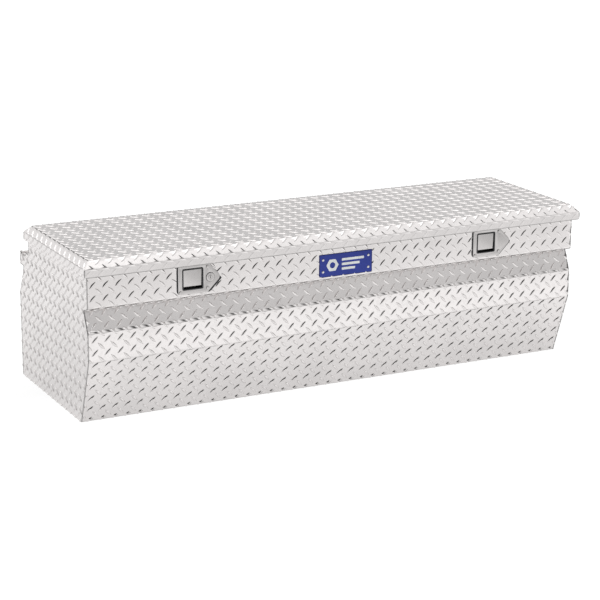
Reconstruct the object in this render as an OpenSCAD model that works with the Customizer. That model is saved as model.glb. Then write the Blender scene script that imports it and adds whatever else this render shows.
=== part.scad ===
// Truck tool box: a tread-plate chest with a hinged, foam-filled lid held by two
// paddle latches and two gas struts.
// X runs along the length, Y towards the hinge side, Z up; the origin is at the
// middle of the footprint.

/* [Overall] */
// Length of the lid
lid_len = 1540; // [1400:1:1600]
// Top of the lid above the ground
total_h = 461; // [461:1:480]
// Thickness of the tread plate
plate_t = 1.6; // [1.2:0.1:2.0]

/* [Lid] */
// Front face of the lid
lid_front = -278.5; // [-282:0.5:-276]
// Rear face of the lid
lid_back = 195.5; // [195.5:0.5:195.5]
// Lower edge of the lid's skirt
skirt_low = 420; // [420:1:422]
// Top of the straight part of the skirt
skirt_top = 442; // [442:1:444]
// Inset of the bevel between skirt and top
bevel_in = 18.6; // [12:0.1:24]
// Thickness of the liner under the foam
liner_t = 1.2; // [1:0.1:1.6]
// Underside of the liner
liner_low = 440; // [440:0.5:440.5]

/* [Body] */
// How far the lid overhangs each end of the body
end_overhang = 12.5; // [10:0.5:16]
// Top of the rim flange
rim_z = 432; // [432:0.5:432]
// Width of the rim flange
rim_w = 25; // [20:1:26]

/* [Latch] */
// Middle of the left latch along the length
left_latch_x = -458; // [-520:1:-400]
// Middle of the right latch along the length
right_latch_x = 461; // [400:1:520]
// Height of the latch centres
latch_z = 378.5; // [378.5:0.5:378.5]
// Width of the dished opening
dish_w = 59; // [59:1:60]
// Height of the dished opening
dish_h = 57; // [57:1:57]

/* [Hinge] */
// Hinge axis, distance behind the middle
hinge_y = 197; // [197:0.5:197]
// Hinge axis, height
hinge_z = 417; // [417:0.5:417]
// Number of knuckles, odd
knuckles = 39; // [21:2:45]
// Length of the hinge
hinge_len = 1490; // [1300:10:1490]

/* [Gas struts] */
// Distance of each strut from the middle of the box
strut_x = 715; // [690:1:716]
// Lower ball, Y
strut_foot_y = 147; // [140:1:150]
// Lower ball, Z
strut_foot_z = 337; // [337:1:345]
// Upper ball with the lid shut, Y
strut_head_y = -43; // [-43:1:-43]
// Upper ball with the lid shut, Z
strut_head_z = 429; // [429:1:429]

/* [Hidden] */
$fn = 48;
cut = 1;
lid_half = lid_len / 2;
body_half = lid_half - end_overhang;
inner_half = body_half - plate_t;

// Outer faces of the bent body panels, as [y, z] with the metal on the left
front_y = -258.5;
band_top_y = -231.5;
front_low_y = -256.5;
foot_front_y = -191.5;
rear_wall_y = 193.3;
rear_y = 278.5;
waist_y = 243.5;
lip_y = 268.5;
hem_y = 259;
shelf_z = 363;
joggle_z = 373;
lip_z = 369;
ledge_top = 333;
ledge_low = 319;
band_ledge_top = 330;
band_ledge_low = 321;
band_low = 261;
rear_slope_low = 248;
wedge_z = 184;
foot_flange = 22;
wedge_slope = (foot_front_y - front_low_y) / wedge_z;
front_foot_y = foot_front_y - wedge_slope * plate_t;

front_path = [
    [front_y + rim_w, rim_z], [front_y, rim_z], [front_y, band_ledge_top],
    [band_top_y, band_ledge_low], [front_low_y, band_low], [front_low_y, wedge_z],
    [front_foot_y, plate_t], [front_foot_y + foot_flange, plate_t]
];
rear_path = [
    [rear_y - foot_flange, plate_t], [rear_y, plate_t], [rear_y, rear_slope_low],
    [waist_y, ledge_low], [waist_y, ledge_top], [lip_y, ledge_top], [lip_y, lip_z],
    [hem_y, lip_z], [hem_y, shelf_z], [227, shelf_z], [219, joggle_z],
    [rear_wall_y, joggle_z], [rear_wall_y, rim_z], [rear_wall_y - rim_w, rim_z]
];
end_outline = [
    [front_y, rim_z], [front_y, band_ledge_top], [band_top_y, band_ledge_low],
    [front_low_y, band_low], [front_low_y, wedge_z], [foot_front_y, 0], [rear_y, 0],
    [rear_y, rear_slope_low], [waist_y, ledge_low], [waist_y, ledge_top],
    [lip_y, ledge_top], [lip_y, lip_z], [hem_y, lip_z], [hem_y, shelf_z],
    [227, shelf_z], [219, joggle_z], [rear_wall_y, joggle_z], [rear_wall_y, rim_z]
];

// Rim gasket
gasket_w = 12;
gasket_base = 2;
bulb_r = 3.8;
gasket_gap = 0.3;
gasket_x = body_half - end_overhang;
gasket_front = front_y + 12.5;
gasket_back = rear_wall_y - 12.5;
gasket_corner = 14;

// Fasteners
rivet_r = 2.4;
hole_play = 0.1;
head_r = 4;
head_h = 1.6;

// Name plate
name_x = 5;
name_z = 368;
name_w = 166;
name_h = 65;
name_t = 1.2;
name_rivet_dx = 71;
name_rivet_dz = 17;

// Piano hinge
knuckle_r = 3;
hinge_pin_r = 1.5;
hinge_play = 0.05;
knuckle_gap = 0.4;
leaf_t = 1.5;
body_leaf_low = 392;
body_leaf_top = 413.5;
lid_leaf_low = 420.5;
lid_leaf_top = 440;
body_rivet_z = 402;
lid_rivet_z = 431;
hinge_rivets = 11;
hinge_rivet_gap = 144;

// Latch: positions are taken from the middle of its dished opening
bezel_t = 1.5;
seal_t = 1;
bezel_face = front_y - seal_t - bezel_t;
seal_face = front_y - seal_t;
panel_back = front_y + plate_t;
dish_wall = 1.2;
dish_floor = bezel_face + 18;
dish_back = dish_floor + dish_wall;
plate_left = -42.5;
plate_half = 41;
shoulder_x = 42.5;
screw_spots = [[-35.5, -35], [-35.5, 35], [44, -29], [44, 29]];
screw_r = 2.5;
lock_u = 51;
lock_barrel_r = 9;
lock_plug_r = 6;
lock_play = 0.05;
lock_ring_r = 12;
lock_end = -236;
paddle_y = -254;
paddle_w = 23.5;
paddle_pin_r = 1.5;
paddle_play = 0.05;
paddle_face = bezel_face + 2.2;
paddle_t = 2;
paddle_half = 26.5;
paddle_low = -20;
tail_u0 = 18;
tail_u1 = 24;
tail_len = 23.5;
tail_half = 1.5;
bridge_t = 2;
bridge_y = dish_back + 0.5;
hook_w = 7.5;
hook_pin_r = 3;
hook_play = 0.05;
hub_r = 7;
hook_front = bridge_y + bridge_t + 0.5;
hook_toe_t = 3;
hook_back = hook_front + 14.8;
hook_beak_t = 4;
striker_u = -3;
striker_w = 27.5;
striker_r = 3;
striker_y = -220;
striker_t = 3;
striker_foot_t = 1.2;

// Gas struts
ball_r = 5;
ball_play = 0.05;
ball_neck_r = 3.5;
socket_mouth_r = 4.4;
socket_r = 8;
socket_half = 6.5;
tube_r = 9;
tube_bore_r = 8.1;
tube_start = 16;
tube_end = 170;
guide_len = 10;
rod_r = 4;
rod_play = 0.05;
rod_start = 40;
piston_r = 8;
piston_len = 6;
strut_run = strut_foot_y - strut_head_y;
strut_rise = strut_head_z - strut_foot_z;
strut_len = norm([strut_run, strut_rise]);
strut_tilt = atan2(strut_run, strut_rise);
foot_web_x = strut_x + 10;
foot_t = 2.5;
head_web_x = strut_x + 10.5;
head_t = 2.5;
head_half = 30;
head_low = 412;
head_foot = 28;
head_rivet_dy = 23;
head_rivet_x = strut_x - 3;

// ---- helpers ----
function unit(v) = v / norm(v);
function left_of(a, b) = let (d = unit(b - a)) [-d[1], d[0]];
function miter(m, n) = (m + n) / (1 + m * n);
function inner_point(p, i, t) =
    i == 0 ? p[0] + t * left_of(p[0], p[1])
    : i == len(p) - 1 ? p[i] + t * left_of(p[i - 1], p[i])
    : p[i] + t * miter(left_of(p[i - 1], p[i]), left_of(p[i], p[i + 1]));
function sheet_outline(p, t) =
    concat(p, [for (i = [len(p) - 1 : -1 : 0]) inner_point(p, i, t)]);
function turn(a, b) = (b - a + 540) % 360 - 180;
function round_corner(a, b, c, r, n = 6) =
    let (
        u = unit(a - b), v = unit(c - b), half = acos(u * v) / 2,
        mid = b + unit(u + v) * r / sin(half), reach = r / tan(half),
        from = b + u * reach - mid, to = b + v * reach - mid,
        start = atan2(from[1], from[0]), swing = turn(start, atan2(to[1], to[0]))
    )
    [for (k = [0 : n]) mid + r * [cos(start + swing * k / n), sin(start + swing * k / n)]];
function rounded(p, radii) =
    [for (i = [0 : len(p) - 1])
        each radii[i] == 0 ? [p[i]]
            : round_corner(p[(i + len(p) - 1) % len(p)], p[i], p[(i + 1) % len(p)], radii[i])];
function rectangle(w, h) = [[-w / 2, -h / 2], [w / 2, -h / 2], [w / 2, h / 2], [-w / 2, h / 2]];
function bezel_outline(inset) =
    rounded(
        [
            [plate_left + inset, inset - plate_half], [shoulder_x - inset * 0.4, inset - plate_half],
            [shoulder_x + plate_half - inset * 1.4, 0],
            [shoulder_x - inset * 0.4, plate_half - inset], [plate_left + inset, plate_half - inset]
        ],
        [8 - inset, 6 - inset, 12 - inset, 6 - inset, 8 - inset]
    );

// A [y, z] outline carried from x0 to x1
module along_x(x0, x1) {
    translate([x0, 0, 0]) rotate([90, 0, 90]) linear_extrude(x1 - x0) children();
}
// An [x, z] outline carried from y0 to y1
module along_y(y0, y1) {
    translate([0, y1, 0]) rotate([90, 0, 0]) linear_extrude(y1 - y0) children();
}
module rod_x(x0, x1, r) {
    translate([x0, 0, 0]) rotate([0, 90, 0]) cylinder(h = x1 - x0, r = r);
}
module rod_y(y0, y1, r) {
    translate([0, y1, 0]) rotate([90, 0, 0]) cylinder(h = y1 - y0, r = r);
}
module block(low, high) {
    translate(low) cube(high - low);
}
// A rivet along +Z with its head on z = 0 and a set tail below the grip
module rivet(grip, tail = true) {
    cylinder(h = head_h, r1 = head_r, r2 = head_r * 0.6);
    translate([0, 0, -grip]) cylinder(h = grip, r = rivet_r);
    if (tail) translate([0, 0, -grip - head_h]) cylinder(h = head_h, r = head_r * 0.8);
}
module other_side() {
    mirror([1, 0, 0]) children();
}

// ---- where things repeat ----
module at_name_rivets() {
    for (sx = [-1, 1], sz = [-1, 1])
        translate([name_x + sx * name_rivet_dx, 0, name_z + sz * name_rivet_dz]) children();
}
module at_hinge_rivets(z) {
    for (i = [0 : hinge_rivets - 1])
        translate([(i - (hinge_rivets - 1) / 2) * hinge_rivet_gap, 0, z]) children();
}
module at_left_latch() {
    translate([left_latch_x, 0, latch_z]) children();
}
module at_right_latch() {
    translate([right_latch_x, 0, latch_z]) children();
}
module at_screws() {
    for (p = screw_spots) translate([p[0], 0, p[1]]) children();
}
module at_lock() {
    translate([left_latch_x + lock_u, 0, latch_z]) children();
}
module at_striker_screws() {
    for (x = [left_latch_x, right_latch_x], u = [-11, 5])
        translate([x + u, -203, 0]) children();
}
module at_head_rivets() {
    for (sx = [-1, 1], sy = [-1, 1])
        translate([sx * head_rivet_x, strut_head_y + sy * head_rivet_dy, 0]) children();
}

// ---- body panels ----
module latch_cutout() {
    along_y(front_y - cut, panel_back + cut)
        polygon(rounded(rectangle(dish_w + 4, dish_h + 4), [4, 4, 4, 4]));
    at_screws() rod_y(front_y - cut, panel_back + cut, screw_r + hole_play);
}
module front_panel() {
    color("gainsboro") difference() {
        along_x(-inner_half, inner_half) polygon(sheet_outline(front_path, plate_t));
        at_left_latch() latch_cutout();
        at_right_latch() latch_cutout();
        at_lock() rod_y(front_y - cut, panel_back + cut, lock_barrel_r + hole_play);
        at_name_rivets() rod_y(front_y - cut, panel_back + cut, rivet_r + hole_play);
    }
}
module rear_panel() {
    color("gainsboro") difference() {
        along_x(-inner_half, inner_half) polygon(sheet_outline(rear_path, plate_t));
        at_hinge_rivets(body_rivet_z)
            rod_y(rear_wall_y - plate_t - cut, rear_wall_y + cut, rivet_r + hole_play);
    }
}
module floor_panel() {
    color("gainsboro") block([-inner_half, foot_front_y, 0], [inner_half, rear_y, plate_t]);
}
module left_end_panel() {
    color("gainsboro") {
        along_x(-body_half, -inner_half) polygon(end_outline);
        block([-body_half, front_y + rim_w, rim_z - plate_t],
              [-body_half + rim_w, rear_wall_y - rim_w, rim_z]);
    }
}
module right_end_panel() {
    other_side() left_end_panel();
}

module gasket_bulb_corner() {
    rotate_extrude(angle = 90) translate([gasket_corner, 0]) circle(r = bulb_r, $fn = 24);
}
module rim_gasket() {
    outer = rectangle(2 * gasket_x + gasket_w, gasket_back - gasket_front + gasket_w);
    inner = rectangle(2 * gasket_x - gasket_w, gasket_back - gasket_front - gasket_w);
    mid_y = (gasket_front + gasket_back) / 2;
    run_x = gasket_x - gasket_corner;
    run_y = (gasket_back - gasket_front) / 2 - gasket_corner;
    ring_r = [gasket_corner + gasket_w / 2, gasket_corner - gasket_w / 2];
    top = liner_low - gasket_gap - bulb_r;
    color("dimgray") translate([0, mid_y, 0]) {
        translate([0, 0, rim_z]) linear_extrude(gasket_base) difference() {
            polygon(rounded(outer, [for (i = [0 : 3]) ring_r[0]]));
            polygon(rounded(inner, [for (i = [0 : 3]) ring_r[1]]));
        }
        translate([0, 0, top]) {
            for (s = [-1, 1]) {
                translate([0, s * (run_y + gasket_corner), 0]) rod_x(-run_x, run_x, bulb_r, $fn = 24);
                translate([s * gasket_x, 0, 0]) rod_y(-run_y, run_y, bulb_r, $fn = 24);
            }
            translate([run_x, run_y, 0]) gasket_bulb_corner();
            translate([-run_x, run_y, 0]) rotate([0, 0, 90]) gasket_bulb_corner();
            translate([-run_x, -run_y, 0]) rotate([0, 0, 180]) gasket_bulb_corner();
            translate([run_x, -run_y, 0]) rotate([0, 0, 270]) gasket_bulb_corner();
        }
    }
}

module name_plate() {
    color("royalblue") difference() {
        translate([name_x, 0, name_z]) along_y(front_y - name_t, front_y)
            polygon(rounded(rectangle(name_w, name_h), [3, 3, 3, 3]));
        at_name_rivets() rod_y(front_y - name_t - cut, front_y + cut, rivet_r + hole_play);
    }
}
module name_plate_rivets() {
    color("silver") at_name_rivets() translate([0, front_y - name_t, 0])
        rotate([90, 0, 0]) rivet(name_t + plate_t);
}

// ---- hinge ----
module hinge_knuckles(first) {
    pitch = hinge_len / knuckles;
    for (i = [first : 2 : knuckles - 1])
        translate([(i - (knuckles - 1) / 2) * pitch, 0, 0]) children();
}
module hinge_leaf(first, y0, low, high, tab_low, tab_high) {
    half = (hinge_len / knuckles - knuckle_gap) / 2;
    difference() {
        union() {
            block([-hinge_len / 2, y0, low], [hinge_len / 2, y0 + leaf_t, high]);
            hinge_knuckles(first) block([-half, y0, tab_low], [half, y0 + leaf_t, tab_high]);
            hinge_knuckles(first) translate([0, hinge_y, hinge_z]) rod_x(-half, half, knuckle_r);
        }
        translate([0, hinge_y, hinge_z])
            rod_x(-hinge_len / 2 - cut, hinge_len / 2 + cut, hinge_pin_r + hinge_play);
    }
}
module hinge_body_leaf() {
    color("silver") difference() {
        hinge_leaf(0, rear_wall_y, body_leaf_low, body_leaf_top, body_leaf_top - cut, hinge_z);
        at_hinge_rivets(body_rivet_z)
            rod_y(rear_wall_y - cut, rear_wall_y + leaf_t + cut, rivet_r + hole_play);
    }
}
module hinge_lid_leaf() {
    color("silver") difference() {
        hinge_leaf(1, lid_back, lid_leaf_low, lid_leaf_top, hinge_z, lid_leaf_low + cut);
        at_hinge_rivets(lid_rivet_z)
            rod_y(lid_back - cut, lid_back + leaf_t + cut, rivet_r + hole_play);
    }
}
module hinge_pin() {
    color("silver") translate([0, hinge_y, hinge_z])
        rod_x(-hinge_len / 2, hinge_len / 2, hinge_pin_r);
}
module hinge_body_rivets() {
    color("silver") at_hinge_rivets(body_rivet_z) translate([0, rear_wall_y + leaf_t, 0])
        rotate([-90, 0, 0]) rivet(leaf_t + plate_t);
}
module hinge_lid_rivets() {
    color("silver") at_hinge_rivets(lid_rivet_z) translate([0, lid_back + leaf_t, 0])
        rotate([-90, 0, 0]) rivet(leaf_t + plate_t, tail = false);
}

// ---- lid ----
// The lid's outer form moved inwards by inset, open towards the floor
module lid_form(inset) {
    run = bevel_in;
    rise = total_h - skirt_top;
    slant = (norm([run, rise]) - rise) / run;
    shift = inset * (norm([run, rise]) - run) / rise;
    top_in = run + inset * slant;
    y0 = lid_front + inset;
    y1 = lid_back - inset;
    x1 = lid_half - inset;
    low = inset > 0 ? skirt_low - cut : skirt_low;
    knee = skirt_top - shift;
    top = total_h - inset;
    intersection() {
        along_x(-x1, x1) polygon([
            [y0, low], [y1, low], [y1, knee],
            [lid_back - top_in, top], [lid_front + top_in, top], [y0, knee]
        ]);
        along_y(y0, y1) polygon([
            [-x1, low], [x1, low], [x1, knee],
            [lid_half - top_in, top], [top_in - lid_half, top], [-x1, knee]
        ]);
    }
}
module lid_skin() {
    color("gainsboro") difference() {
        lid_form(0);
        lid_form(plate_t);
        at_hinge_rivets(lid_rivet_z)
            rod_y(lid_back - plate_t - cut, lid_back + cut, rivet_r + hole_play);
    }
}
module lid_liner() {
    edge = lid_half - plate_t;
    color("silver") difference() {
        block([-edge, lid_front + plate_t, liner_low], [edge, lid_back - plate_t, liner_low + liner_t]);
        at_striker_screws() translate([0, 0, liner_low - cut]) cylinder(h = 4, r = screw_r + hole_play);
        at_head_rivets() translate([0, 0, liner_low - cut]) cylinder(h = 4, r = rivet_r + hole_play);
    }
}
module lid_foam_core() {
    floor_z = liner_low + liner_t;
    color("khaki") difference() {
        intersection() {
            lid_form(plate_t);
            block([-lid_half, lid_front, floor_z], [lid_half, lid_back, total_h]);
        }
        at_striker_screws() translate([0, 0, floor_z - cut]) cylinder(h = 8, r = head_r);
        at_head_rivets() translate([0, 0, floor_z - cut]) cylinder(h = 4, r = head_r);
    }
}

// ---- latch, about the middle of its opening ----
module latch_holes(y0, y1) {
    at_screws() rod_y(y0, y1, screw_r + hole_play);
}
module latch_bezel(lock_hole) {
    opening = rounded(rectangle(dish_w, dish_h), [3, 3, 3, 3]);
    pan = rounded(rectangle(dish_w + 2 * dish_wall, dish_h + 2 * dish_wall), [5, 5, 5, 5]);
    color("lightgray") difference() {
        union() {
            along_y(bezel_face, bezel_face + bezel_t) polygon(bezel_outline(0));
            along_y(bezel_face + bezel_t / 2, dish_back) polygon(pan);
        }
        along_y(bezel_face - cut, dish_floor) polygon(opening);
        block([tail_u0 - 1.5, dish_floor - cut, 9.5], [tail_u1 + 1.5, dish_back + cut, 26.5]);
        translate([0, paddle_y, paddle_w]) rod_x(-dish_w, dish_w, paddle_pin_r + 0.02);
        latch_holes(bezel_face - cut, bezel_face + bezel_t + cut);
        if (lock_hole) translate([lock_u, 0, 0])
            rod_y(bezel_face - cut, bezel_face + bezel_t + cut, lock_barrel_r + hole_play);
    }
}
module latch_gasket(lock_hole) {
    color("dimgray") difference() {
        along_y(seal_face, front_y) polygon(bezel_outline(1));
        along_y(seal_face - cut, front_y + cut)
            polygon(rounded(rectangle(dish_w + 3.4, dish_h + 3.4), [5, 5, 5, 5]));
        latch_holes(seal_face - cut, front_y + cut);
        if (lock_hole) translate([lock_u, 0, 0])
            rod_y(seal_face - cut, front_y + cut, lock_barrel_r + hole_play);
    }
}
module latch_screws() {
    frame_back = panel_back + bridge_t;
    color("silver") at_screws() {
        rod_y(bezel_face - 1.8, bezel_face, 4.5);
        rod_y(bezel_face, frame_back + 4, screw_r);
        rod_y(frame_back, frame_back + 2.8, 4.4, $fn = 6);
    }
}
// Frame behind the panel with a bridge that carries the hook behind the dish
module latch_backplate() {
    frame_back = panel_back + bridge_t;
    leg_in = dish_w / 2 + dish_wall + 0.5;
    leg_out = leg_in + bridge_t;
    color("silver") difference() {
        union() {
            difference() {
                block([-42, panel_back, -38], [52, frame_back, 38]);
                block([-leg_in, panel_back - cut, -30.2], [leg_in, frame_back + cut, 30.2]);
                translate([lock_u, 0, 0]) rod_y(panel_back - cut, frame_back + cut, 14.5);
            }
            for (s = [-1, 1])
                block([min(s * leg_in, s * leg_out), frame_back - bridge_t, -12],
                      [max(s * leg_in, s * leg_out), bridge_y + bridge_t, 14]);
            block([-leg_out, bridge_y, -12], [leg_out, bridge_y + bridge_t, 14]);
        }
        block([tail_u0 - 2, bridge_y - cut, 7.5], [tail_u1 + 2, bridge_y + bridge_t + cut, 14 + cut]);
        latch_holes(panel_back - cut, frame_back + cut);
        translate([0, 0, hook_w])
            rod_y(bridge_y - cut, bridge_y + bridge_t + cut, hook_pin_r + 0.02);
    }
}
module paddle_pin() {
    reach = dish_w / 2 + dish_wall;
    color("silver") translate([0, paddle_y, paddle_w]) rod_x(-reach, reach, paddle_pin_r);
}
module hook_pivot() {
    color("silver") translate([0, 0, hook_w]) {
        rod_y(bridge_y, hook_back + 0.5, hook_pin_r);
        rod_y(hook_back + 0.5, hook_back + 2, hook_pin_r + 2);
    }
}
module paddle_spring() {
    color("slategray") translate([0, paddle_y, paddle_w]) {
        difference() {
            rod_x(-12.5, -3.5, 2.6);
            rod_x(-13.5, -2.5, 1.8);
        }
        block([-12.4, -2.4, -14], [-11.2, -1.6, -1.6]);
        block([-4.8, 1.6, -16], [-3.6, 2.4, -1.6]);
    }
}
module hook_spring() {
    color("slategray") translate([0, 0, hook_w]) {
        difference() {
            rod_y(hook_front + 4, hook_front + 9, hub_r + 1.8);
            rod_y(hook_front + 3, hook_front + 10, hub_r + 0.4);
        }
        block([-8.6, hook_front + 4, -16], [-7.4, hook_front + 5.2, 0]);
    }
}
module paddle() {
    lift = 1.2;
    color("lightgray") difference() {
        union() {
            block([-paddle_half, paddle_face, paddle_low],
                  [paddle_half, paddle_face + paddle_t, paddle_w + lift]);
            block([-paddle_half, paddle_face, paddle_low],
                  [paddle_half, paddle_face + 8.8, paddle_low + paddle_t]);
            for (span = [[1 - paddle_half, -14], [-2, paddle_half - 1]]) {
                translate([0, paddle_y, paddle_w]) rod_x(span[0], span[1], 2.8);
                block([span[0], paddle_face + 1, paddle_w - 2.5], [span[1], paddle_y, paddle_w + lift]);
            }
            block([tail_u0, paddle_y, paddle_w - tail_half],
                  [tail_u1, paddle_y + tail_len, paddle_w + tail_half]);
        }
        translate([0, paddle_y, paddle_w])
            rod_x(-paddle_half - cut, paddle_half + cut, paddle_pin_r + paddle_play);
    }
}
// Toe under the paddle's tail, hub on the pivot, and a beak over the striker
module latch_hook() {
    toe = [[-5, -4], [4, -6], [24, 4.5], [24, 10], [4, 10], [-5, 5]];
    beak = [[-4, -5], [6, -5], [9, 2], [9, 24], [6, 31], [-8, 26.5], [-8, 23.7], [2, 23.7], [2, 6], [-5, 4]];
    color("silver") translate([0, 0, hook_w]) difference() {
        union() {
            rod_y(hook_front, hook_back, hub_r);
            along_y(hook_front, hook_front + hook_toe_t) polygon(toe);
            along_y(hook_back - hook_beak_t, hook_back) polygon(beak);
        }
        rod_y(hook_front - cut, hook_back + cut, hook_pin_r + hook_play);
    }
}
// Plate hanging from the liner with a forward pin that the beak holds down
module striker() {
    hang = liner_low - latch_z;
    color("silver") difference() {
        union() {
            translate([striker_u, 0, striker_w]) rod_y(-231.5, striker_y + cut, striker_r);
            block([-15, striker_y, 21.5], [9, striker_y + striker_t, hang]);
            block([-15, striker_y, hang - striker_foot_t], [9, -190, hang]);
        }
        for (u = [-11, 5])
            translate([u, -203, hang - 2]) cylinder(h = 3, r = screw_r + hole_play);
    }
}

module left_latch_bezel() { at_left_latch() latch_bezel(true); }
module right_latch_bezel() { at_right_latch() latch_bezel(false); }
module left_latch_gasket() { at_left_latch() latch_gasket(true); }
module right_latch_gasket() { at_right_latch() latch_gasket(false); }
module left_latch_screws() { at_left_latch() latch_screws(); }
module right_latch_screws() { at_right_latch() latch_screws(); }
module left_latch_backplate() { at_left_latch() latch_backplate(); }
module right_latch_backplate() { at_right_latch() latch_backplate(); }
module left_paddle_pin() { at_left_latch() paddle_pin(); }
module right_paddle_pin() { at_right_latch() paddle_pin(); }
module left_hook_pivot() { at_left_latch() hook_pivot(); }
module right_hook_pivot() { at_right_latch() hook_pivot(); }
module left_paddle_spring() { at_left_latch() paddle_spring(); }
module right_paddle_spring() { at_right_latch() paddle_spring(); }
module left_hook_spring() { at_left_latch() hook_spring(); }
module right_hook_spring() { at_right_latch() hook_spring(); }
module left_striker() { at_left_latch() striker(); }
module right_striker() { at_right_latch() striker(); }
module left_paddle() { at_left_latch() paddle(); }
module right_paddle() { at_right_latch() paddle(); }
module left_latch_hook() { at_left_latch() latch_hook(); }
module right_latch_hook() { at_right_latch() latch_hook(); }

module striker_screws() {
    under = liner_low - striker_foot_t;
    color("silver") at_striker_screws() {
        translate([0, 0, under - 2]) cylinder(h = 2, r = head_r);
        translate([0, 0, under]) cylinder(h = 7, r = screw_r);
    }
}

// ---- lock ----
module lock_barrel() {
    color("lightgray") at_lock() difference() {
        union() {
            rod_y(bezel_face - 1.8, bezel_face, lock_ring_r);
            rod_y(bezel_face, lock_end, lock_barrel_r);
        }
        rod_y(bezel_face - 3, lock_end + cut, lock_plug_r + lock_play);
    }
}
module lock_nut() {
    color("silver") at_lock() difference() {
        rod_y(panel_back, panel_back + 4, 13.5, $fn = 6);
        rod_y(panel_back - cut, panel_back + 5, lock_barrel_r + 0.02);
    }
}
module lock_plug() {
    color("silver") at_lock() difference() {
        union() {
            rod_y(bezel_face - 2.3, lock_end, lock_plug_r);
            rod_y(lock_end, lock_end + 5, 4);
        }
        block([-0.7, bezel_face - 3, -4], [0.7, bezel_face + 6, 4]);
    }
}
module lock_cam() {
    color("silver") at_lock() difference() {
        union() {
            rod_y(lock_end + 0.3, lock_end + 2.8, 8);
            block([-5, lock_end + 0.3, -22], [5, lock_end + 2.8, 0]);
            rod_y(lock_end + 2.8, lock_end + 5, 5.5, $fn = 6);
        }
        rod_y(lock_end, lock_end + 6, 4.02);
    }
}

// ---- gas struts, built up the Z axis from the lower ball ----
module at_left_strut() {
    translate([-strut_x, strut_foot_y, strut_foot_z]) rotate([strut_tilt, 0, 0]) children();
}
// A socket about the origin whose mouth faces -X, with a neck up or down Z
module socket(neck_low, neck_high) {
    difference() {
        union() {
            rod_x(-socket_half, socket_half, socket_r);
            translate([0, 0, neck_low]) cylinder(h = neck_high - neck_low, r = rod_r + 1);
        }
        sphere(r = ball_r + ball_play);
        rod_x(-socket_half - cut, 0, socket_mouth_r);
    }
}
module left_strut_tube() {
    color("dimgray") at_left_strut() {
        socket(5.5, tube_start + 1);
        difference() {
            translate([0, 0, tube_start]) cylinder(h = tube_end - tube_start, r = tube_r);
            translate([0, 0, tube_start + 4]) cylinder(h = tube_end - tube_start, r = tube_bore_r);
        }
    }
}
module left_strut_guide() {
    color("gray") at_left_strut() translate([0, 0, tube_end - guide_len]) difference() {
        cylinder(h = guide_len, r = tube_bore_r);
        translate([0, 0, -cut]) cylinder(h = guide_len + 2 * cut, r = rod_r + rod_play);
    }
}
module left_strut_rod() {
    color("silver") at_left_strut() {
        translate([0, 0, rod_start]) cylinder(h = strut_len - 14 - rod_start, r = rod_r);
        translate([0, 0, rod_start - piston_len]) cylinder(h = piston_len, r = piston_r);
    }
}
module left_strut_upper_socket() {
    color("dimgray") at_left_strut() translate([0, 0, strut_len]) socket(-14, -5.5);
}
module left_strut_upper_stud() {
    color("silver") at_left_strut() translate([0, 0, strut_len]) {
        sphere(r = ball_r);
        rod_x(strut_x - head_web_x + 0.5, 0, ball_neck_r);
    }
}
// Hat-section bracket welded inside the end panel, with its ball stud
module left_strut_lower_bracket() {
    y = strut_foot_y;
    low = strut_foot_z - 15;
    high = strut_foot_z + 15;
    color("silver") {
        block([-foot_web_x - foot_t, y - 15, low], [-foot_web_x, y + 15, high]);
        for (s = [-1, 1]) {
            block([-inner_half, y + s * 13.75 - foot_t / 2, low],
                  [-foot_web_x, y + s * 13.75 + foot_t / 2, high]);
            block([-inner_half, y + s * 20 - 7, low], [foot_t - inner_half, y + s * 20 + 7, high]);
        }
        translate([0, y, strut_foot_z]) rod_x(-foot_web_x - cut, -strut_x, ball_neck_r);
        translate([-strut_x, y, strut_foot_z]) sphere(r = ball_r);
    }
}
module left_strut_upper_bracket() {
    y = strut_head_y;
    x = -head_web_x;
    color("silver") difference() {
        union() {
            block([x - head_t, y - head_half, head_low], [x, y + head_half, liner_low]);
            block([x - head_t, y - head_half, liner_low - striker_foot_t],
                  [x + head_foot, y + head_half, liner_low]);
        }
        at_head_rivets() translate([0, 0, liner_low - 3]) cylinder(h = 4, r = rivet_r + hole_play);
    }
}
module lid_bracket_rivets() {
    under = liner_low - striker_foot_t;
    color("silver") at_head_rivets() translate([0, 0, under]) rotate([180, 0, 0])
        rivet(striker_foot_t + liner_t, tail = false);
}

module right_strut_lower_bracket() { other_side() left_strut_lower_bracket(); }
module right_strut_upper_bracket() { other_side() left_strut_upper_bracket(); }
module right_strut_tube() { other_side() left_strut_tube(); }
module right_strut_guide() { other_side() left_strut_guide(); }
module right_strut_rod() { other_side() left_strut_rod(); }
module right_strut_upper_socket() { other_side() left_strut_upper_socket(); }
module right_strut_upper_stud() { other_side() left_strut_upper_stud(); }

front_panel();
rear_panel();
floor_panel();
left_end_panel();
right_end_panel();
rim_gasket();
name_plate();
name_plate_rivets();
hinge_body_leaf();
hinge_pin();
hinge_body_rivets();
left_strut_lower_bracket();
right_strut_lower_bracket();
left_latch_bezel();
right_latch_bezel();
left_latch_gasket();
right_latch_gasket();
left_latch_screws();
right_latch_screws();
left_latch_backplate();
right_latch_backplate();
left_paddle_pin();
right_paddle_pin();
left_hook_pivot();
right_hook_pivot();
left_paddle_spring();
right_paddle_spring();
left_hook_spring();
right_hook_spring();
lock_barrel();
lock_nut();
lid_skin();
lid_foam_core();
lid_liner();
hinge_lid_leaf();
hinge_lid_rivets();
left_striker();
right_striker();
striker_screws();
left_strut_upper_bracket();
right_strut_upper_bracket();
lid_bracket_rivets();
left_strut_tube();
left_strut_guide();
left_strut_rod();
left_strut_upper_socket();
left_strut_upper_stud();
right_strut_tube();
right_strut_guide();
right_strut_rod();
right_strut_upper_socket();
right_strut_upper_stud();
left_paddle();
right_paddle();
left_latch_hook();
right_latch_hook();
lock_plug();
lock_cam();
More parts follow.
